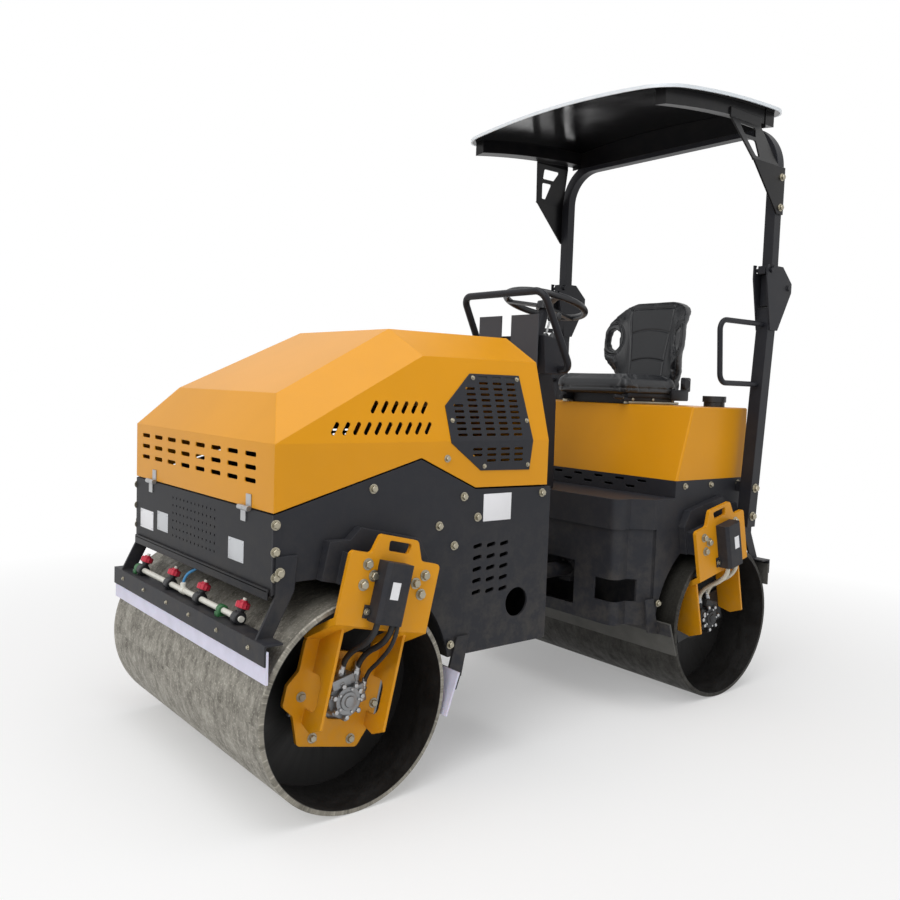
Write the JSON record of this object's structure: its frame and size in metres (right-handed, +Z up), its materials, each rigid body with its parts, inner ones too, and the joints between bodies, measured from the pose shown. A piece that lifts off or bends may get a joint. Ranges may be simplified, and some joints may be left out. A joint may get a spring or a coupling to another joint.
{
  "type": "tandem compaction roller",
  "caption": "Ride-on articulated roller with smooth steel drums front and rear, faceted engine hood, operator seat and a fold-down roll bar with canopy.",
  "frame": {"origin": "on the ground, on the centre line, midway between the drum axles", "axes": "+X to the machine's left, -Y forward, +Z up"},
  "size_m": [1.472, 2.674, 2.7317],
  "materials": {
    "yellow_paint": "gloss powder coat",
    "charcoal_paint": "satin powder coat",
    "grey_paint": "satin powder coat",
    "black_paint": "satin powder coat",
    "drum_steel": "worn bare steel",
    "zinc_steel": "zinc plated",
    "rod_chrome": "hard chrome",
    "cast_metal": "bare casting",
    "hose_rubber": "matte rubber",
    "seat_vinyl": "grained vinyl",
    "black_plastic": "moulded plastic",
    "blade_plastic": "polyethylene sheet",
    "pipe_plastic": "plastic pipe",
    "jet_plastic": "moulded plastic",
    "canopy_skin": "moulded sheet",
    "canopy_lining": "gloss sheet"
  },
  "bodies": {
    "rear_frame": {"rear_chassis": "charcoal_paint", "platform_floor": "charcoal_paint", "tank": "yellow_paint", "filler_cap": "black_plastic", "seat_base": "black_paint", "seat_cushion": "seat_vinyl", "seat_back": "seat_vinyl", "console": "charcoal_paint", "dash_plates": "grey_paint", "handrail": "black_paint", "roll_bar_posts": "black_paint", "grab_handles": "black_paint", "rear_yoke": "charcoal_paint", "rear_brackets": "yellow_paint", "rear_mount_blocks": "charcoal_paint", "rear_motors": "cast_metal", "rear_hose_guards": "charcoal_paint", "rear_hoses": "hose_rubber", "rear_outer_scraper": "charcoal_paint", "rear_outer_blade": "blade_plastic", "rear_inner_scraper": "charcoal_paint", "rear_inner_blade": "blade_plastic", "rear_sprinkler_pipe": "pipe_plastic", "rear_sprinkler_jets": "jet_plastic"},
    "front_frame": {"front_side_panels": "charcoal_paint", "front_tub": "charcoal_paint", "engine_block": "cast_metal", "front_hinge_leaves": "zinc_steel", "front_yoke": "charcoal_paint", "front_brackets": "yellow_paint", "front_mount_blocks": "charcoal_paint", "front_motors": "cast_metal", "front_hose_guards": "charcoal_paint", "front_hoses": "hose_rubber", "front_outer_scraper": "charcoal_paint", "front_outer_blade": "blade_plastic", "front_inner_scraper": "charcoal_paint", "front_inner_blade": "blade_plastic", "front_sprinkler_pipe": "pipe_plastic", "front_sprinkler_jets": "jet_plastic"},
    "hood": {"hood_shell": "yellow_paint", "hood_vents": "charcoal_paint", "hood_hinge_leaves": "zinc_steel"},
    "front_drum": {"front_drum": "drum_steel"},
    "rear_drum": {"rear_drum": "drum_steel"},
    "roll_bar": {"roll_bar_hoop": "black_paint", "canopy_mounts": "black_paint", "canopy_shell": "canopy_skin", "canopy_liner": "canopy_lining"},
    "steering_barrel": {"steering_barrel": "black_paint"},
    "steering_rod": {"steering_rod": "rod_chrome"},
    "steering_wheel": {"steering_wheel": "black_plastic"}
  },
  "joints": [
    {"name": "steer", "type": "hinge", "parent": "rear_frame", "child": "front_frame", "pos_m": [0, 0.14, 0.545], "axis": [0, 0, 1], "range_deg": [-30, 30]},
    {"name": "front_drum_spin", "type": "hinge", "parent": "front_frame", "child": "front_drum", "pos_m": [0, -0.987, 0.35], "axis": [1, 0, 0], "continuous": true},
    {"name": "rear_drum_spin", "type": "hinge", "parent": "rear_frame", "child": "rear_drum", "pos_m": [0, 0.987, 0.35], "axis": [1, 0, 0], "continuous": true},
    {"name": "hood_open", "type": "hinge", "parent": "front_frame", "child": "hood", "pos_m": [0, -1.28, 0.978], "axis": [1, 0, 0], "range_deg": [0, 60]},
    {"name": "roll_bar_fold", "type": "hinge", "parent": "rear_frame", "child": "roll_bar", "pos_m": [0, 1.3, 1.885], "axis": [-1, 0, 0], "range_deg": [0, 100]},
    {"name": "cylinder_swing", "type": "hinge", "parent": "rear_frame", "child": "steering_barrel", "pos_m": [0.14, 0.5, 0.56], "axis": [0, 0, 1], "range_deg": [-8, 8]},
    {"name": "cylinder_stroke", "type": "slide", "parent": "steering_barrel", "child": "steering_rod", "axis": [0.0217, -0.9998, 0], "range_m": [-0.09, 0.09]},
    {"name": "wheel_turn", "type": "hinge", "parent": "rear_frame", "child": "steering_wheel", "pos_m": [0, 0.405, 1.772], "axis": [0, 0.2588, 0.9659], "range_deg": [-370, 370]}
  ],
  "couplings": [
    {"joint": "cylinder_swing", "follows": "steer", "ratio": 0.216},
    {"joint": "cylinder_stroke", "follows": "steer", "m_per_rad": -0.1455},
    {"joint": "wheel_turn", "follows": "steer", "ratio": 12}
  ]
}
